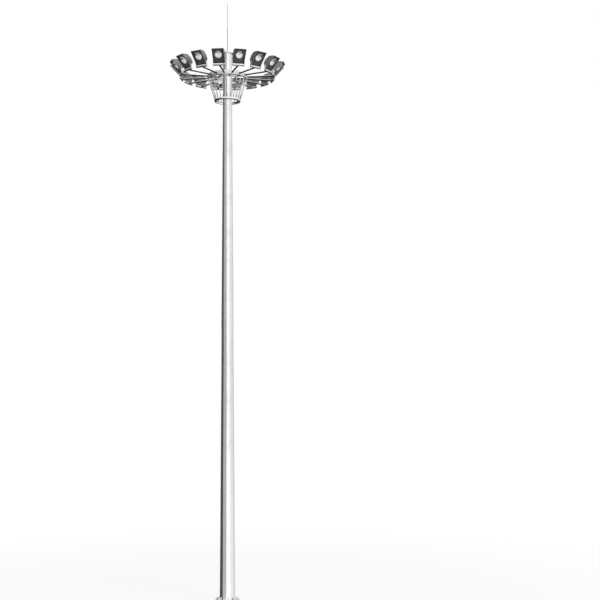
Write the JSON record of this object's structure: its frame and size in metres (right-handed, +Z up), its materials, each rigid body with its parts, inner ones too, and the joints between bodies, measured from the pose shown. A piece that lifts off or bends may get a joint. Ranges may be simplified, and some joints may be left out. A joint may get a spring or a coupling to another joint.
{
  "type": "high mast floodlight tower",
  "caption": "Tapered many-sided steel mast with a lowering ring of tilting floodlights, a rope hoist head, rain cap and lightning rod.",
  "frame": {"origin": "on the mast's axis at the underside of the base flange", "axes": "+Z up the mast, -Y towards the picture's viewer, +X to the viewer's right"},
  "size_m": [4.2538, 4.2538, 21.8702],
  "materials": {
    "galvanised_shaft": "hot-dip galvanised, satin, bright",
    "galvanised_plate": "hot-dip galvanised, satin",
    "bright_band": "polished stainless band",
    "bright_tube": "bright galvanised tube",
    "pale_cap": "pale grey paint",
    "cast_pulley": "galvanised cast iron",
    "steel_rope": "stranded stainless rope",
    "lamp_paint": "dark grey powder coat on cast aluminium",
    "lamp_glass": "clear toughened glass"
  },
  "bodies": {
    "mast": {"base_flange": "galvanised_plate", "base_gussets": "galvanised_plate", "mast_lower_section": "galvanised_shaft", "mast_upper_section": "galvanised_shaft", "door_frame": "galvanised_shaft", "access_door": "galvanised_shaft", "head_plate": "galvanised_plate", "rain_cap": "pale_cap", "lightning_rod": "bright_tube", "head_brackets": "galvanised_plate", "head_pulleys": "cast_pulley", "pulley_ropes": "steel_rope"},
    "carriage": {"upper_ring": "bright_band", "lower_ring": "bright_band", "guide_ring": "galvanised_plate", "cage_bars": "bright_tube", "ring_spokes": "bright_tube", "lamp_arms": "bright_tube", "lamp_yokes": "galvanised_plate", "rope_lugs": "galvanised_plate", "hoist_ropes": "steel_rope"},
    "floodlight_01": {"floodlight_01_housing": "lamp_paint", "floodlight_01_glass": "lamp_glass"},
    "floodlight_02": {"floodlight_02_housing": "lamp_paint", "floodlight_02_glass": "lamp_glass"},
    "floodlight_03": {"floodlight_03_housing": "lamp_paint", "floodlight_03_glass": "lamp_glass"},
    "floodlight_04": {"floodlight_04_housing": "lamp_paint", "floodlight_04_glass": "lamp_glass"},
    "floodlight_05": {"floodlight_05_housing": "lamp_paint", "floodlight_05_glass": "lamp_glass"},
    "floodlight_06": {"floodlight_06_housing": "lamp_paint", "floodlight_06_glass": "lamp_glass"},
    "floodlight_07": {"floodlight_07_housing": "lamp_paint", "floodlight_07_glass": "lamp_glass"},
    "floodlight_08": {"floodlight_08_housing": "lamp_paint", "floodlight_08_glass": "lamp_glass"},
    "floodlight_09": {"floodlight_09_housing": "lamp_paint", "floodlight_09_glass": "lamp_glass"},
    "floodlight_10": {"floodlight_10_housing": "lamp_paint", "floodlight_10_glass": "lamp_glass"},
    "floodlight_11": {"floodlight_11_housing": "lamp_paint", "floodlight_11_glass": "lamp_glass"},
    "floodlight_12": {"floodlight_12_housing": "lamp_paint", "floodlight_12_glass": "lamp_glass"},
    "floodlight_13": {"floodlight_13_housing": "lamp_paint", "floodlight_13_glass": "lamp_glass"},
    "floodlight_14": {"floodlight_14_housing": "lamp_paint", "floodlight_14_glass": "lamp_glass"},
    "floodlight_15": {"floodlight_15_housing": "lamp_paint", "floodlight_15_glass": "lamp_glass"},
    "floodlight_16": {"floodlight_16_housing": "lamp_paint", "floodlight_16_glass": "lamp_glass"}
  },
  "joints": [
    {"name": "carriage_hoist", "type": "slide", "parent": "mast", "child": "carriage", "axis": [0, 0, 1], "range_m": [-16.6, 0], "deforming": ["hoist_ropes"]},
    {"name": "floodlight_01_tilt", "type": "hinge", "parent": "carriage", "child": "floodlight_01", "pos_m": [0.34336, -1.72618, 19.206], "axis": [0.9808, 0.1951, 0], "range_deg": [-35, 40]},
    {"name": "floodlight_02_tilt", "type": "hinge", "parent": "carriage", "child": "floodlight_02", "pos_m": [0.9778, -1.46339, 19.206], "axis": [0.8315, 0.5556, 0], "range_deg": [-35, 40]},
    {"name": "floodlight_03_tilt", "type": "hinge", "parent": "carriage", "child": "floodlight_03", "pos_m": [1.46339, -0.9778, 19.206], "axis": [0.5556, 0.8315, 0], "range_deg": [-35, 40]},
    {"name": "floodlight_04_tilt", "type": "hinge", "parent": "carriage", "child": "floodlight_04", "pos_m": [1.72618, -0.34336, 19.206], "axis": [0.1951, 0.9808, 0], "range_deg": [-35, 40]},
    {"name": "floodlight_05_tilt", "type": "hinge", "parent": "carriage", "child": "floodlight_05", "pos_m": [1.72618, 0.34336, 19.206], "axis": [-0.1951, 0.9808, 0], "range_deg": [-35, 40]},
    {"name": "floodlight_06_tilt", "type": "hinge", "parent": "carriage", "child": "floodlight_06", "pos_m": [1.46339, 0.9778, 19.206], "axis": [-0.5556, 0.8315, 0], "range_deg": [-35, 40]},
    {"name": "floodlight_07_tilt", "type": "hinge", "parent": "carriage", "child": "floodlight_07", "pos_m": [0.9778, 1.46339, 19.206], "axis": [-0.8315, 0.5556, 0], "range_deg": [-35, 40]},
    {"name": "floodlight_08_tilt", "type": "hinge", "parent": "carriage", "child": "floodlight_08", "pos_m": [0.34336, 1.72618, 19.206], "axis": [-0.9808, 0.1951, 0], "range_deg": [-35, 40]},
    {"name": "floodlight_09_tilt", "type": "hinge", "parent": "carriage", "child": "floodlight_09", "pos_m": [-0.34336, 1.72618, 19.206], "axis": [-0.9808, -0.1951, 0], "range_deg": [-35, 40]},
    {"name": "floodlight_10_tilt", "type": "hinge", "parent": "carriage", "child": "floodlight_10", "pos_m": [-0.9778, 1.46339, 19.206], "axis": [-0.8315, -0.5556, 0], "range_deg": [-35, 40]},
    {"name": "floodlight_11_tilt", "type": "hinge", "parent": "carriage", "child": "floodlight_11", "pos_m": [-1.46339, 0.9778, 19.206], "axis": [-0.5556, -0.8315, 0], "range_deg": [-35, 40]},
    {"name": "floodlight_12_tilt", "type": "hinge", "parent": "carriage", "child": "floodlight_12", "pos_m": [-1.72618, 0.34336, 19.206], "axis": [-0.1951, -0.9808, 0], "range_deg": [-35, 40]},
    {"name": "floodlight_13_tilt", "type": "hinge", "parent": "carriage", "child": "floodlight_13", "pos_m": [-1.72618, -0.34336, 19.206], "axis": [0.1951, -0.9808, 0], "range_deg": [-35, 40]},
    {"name": "floodlight_14_tilt", "type": "hinge", "parent": "carriage", "child": "floodlight_14", "pos_m": [-1.46339, -0.9778, 19.206], "axis": [0.5556, -0.8315, 0], "range_deg": [-35, 40]},
    {"name": "floodlight_15_tilt", "type": "hinge", "parent": "carriage", "child": "floodlight_15", "pos_m": [-0.9778, -1.46339, 19.206], "axis": [0.8315, -0.5556, 0], "range_deg": [-35, 40]},
    {"name": "floodlight_16_tilt", "type": "hinge", "parent": "carriage", "child": "floodlight_16", "pos_m": [-0.34336, -1.72618, 19.206], "axis": [0.9808, -0.1951, 0], "range_deg": [-35, 40]}
  ]
}
